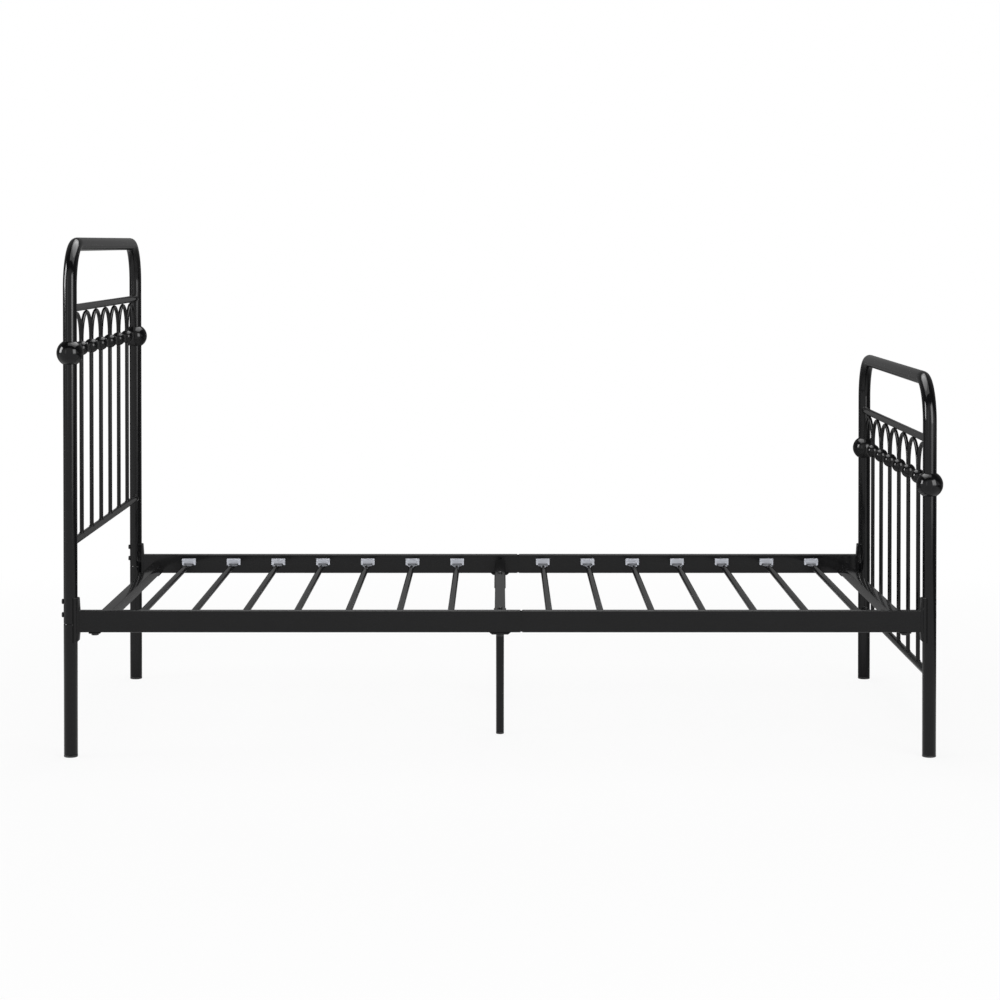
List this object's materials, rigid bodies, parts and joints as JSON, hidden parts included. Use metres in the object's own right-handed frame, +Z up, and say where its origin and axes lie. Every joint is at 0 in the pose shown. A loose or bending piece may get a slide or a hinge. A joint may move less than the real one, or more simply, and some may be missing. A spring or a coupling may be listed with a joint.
{
  "type": "metal bed frame",
  "caption": "Twin bed frame of bent round tube with arched spindle head and foot panels, ball castings, box side rails, round tube slats and centre support legs.",
  "frame": {"origin": "on the floor under the middle of the bed", "axes": "+X along the bed from head to foot, +Y across the bed from the front rail to the rear rail, +Z up"},
  "size_m": [2.0264, 1.0662, 1.1888],
  "materials": {
    "black_coat": "semi-gloss black powder coat",
    "bolt_black": "black oxide, satin",
    "cap_plastic": "moulded, matte black",
    "holder_plastic": "moulded, pale grey"
  },
  "bodies": {
    "root": {"centre_bar": "black_coat", "centre_bar_bolts": "bolt_black", "centre_leg_bolts": "bolt_black", "centre_leg_caps": "cap_plastic", "centre_leg_front": "black_coat", "centre_leg_rear": "black_coat", "channel_bracket_front": "black_coat", "channel_bracket_rear": "black_coat", "end_bar_bolts": "bolt_black", "foot_bar_tongues": "black_coat", "foot_end_bar": "black_coat", "footboard_arches": "black_coat", "footboard_bolts": "bolt_black", "footboard_hoop": "black_coat", "footboard_lower_rail": "black_coat", "footboard_post_balls": "black_coat", "footboard_spindle_balls": "black_coat", "footboard_spindles": "black_coat", "footboard_upper_rail": "black_coat", "head_bar_tongues": "black_coat", "head_end_bar": "black_coat", "headboard_arches": "black_coat", "headboard_bolts": "bolt_black", "headboard_hoop": "black_coat", "headboard_leg_front": "black_coat", "headboard_leg_rear": "black_coat", "headboard_lower_rail": "black_coat", "headboard_post_balls": "black_coat", "headboard_spindle_balls": "black_coat", "headboard_spindles": "black_coat", "headboard_upper_rail": "black_coat", "post_foot_caps": "cap_plastic", "rail_joiner_front": "black_coat", "rail_joiner_rear": "black_coat", "saddle_foot_front": "black_coat", "saddle_foot_rear": "black_coat", "saddle_head_front": "black_coat", "saddle_head_rear": "black_coat", "side_rail_foot_front": "black_coat", "side_rail_foot_rear": "black_coat", "side_rail_head_front": "black_coat", "side_rail_head_rear": "black_coat", "slat_01": "black_coat", "slat_02": "black_coat", "slat_03": "black_coat", "slat_04": "black_coat", "slat_05": "black_coat", "slat_06": "black_coat", "slat_07": "black_coat", "slat_08": "black_coat", "slat_09": "black_coat", "slat_10": "black_coat", "slat_11": "black_coat", "slat_12": "black_coat", "slat_13": "black_coat", "slat_14": "black_coat", "slat_holders_front": "holder_plastic", "slat_holders_rear": "holder_plastic"}
  },
  "joints": []
}
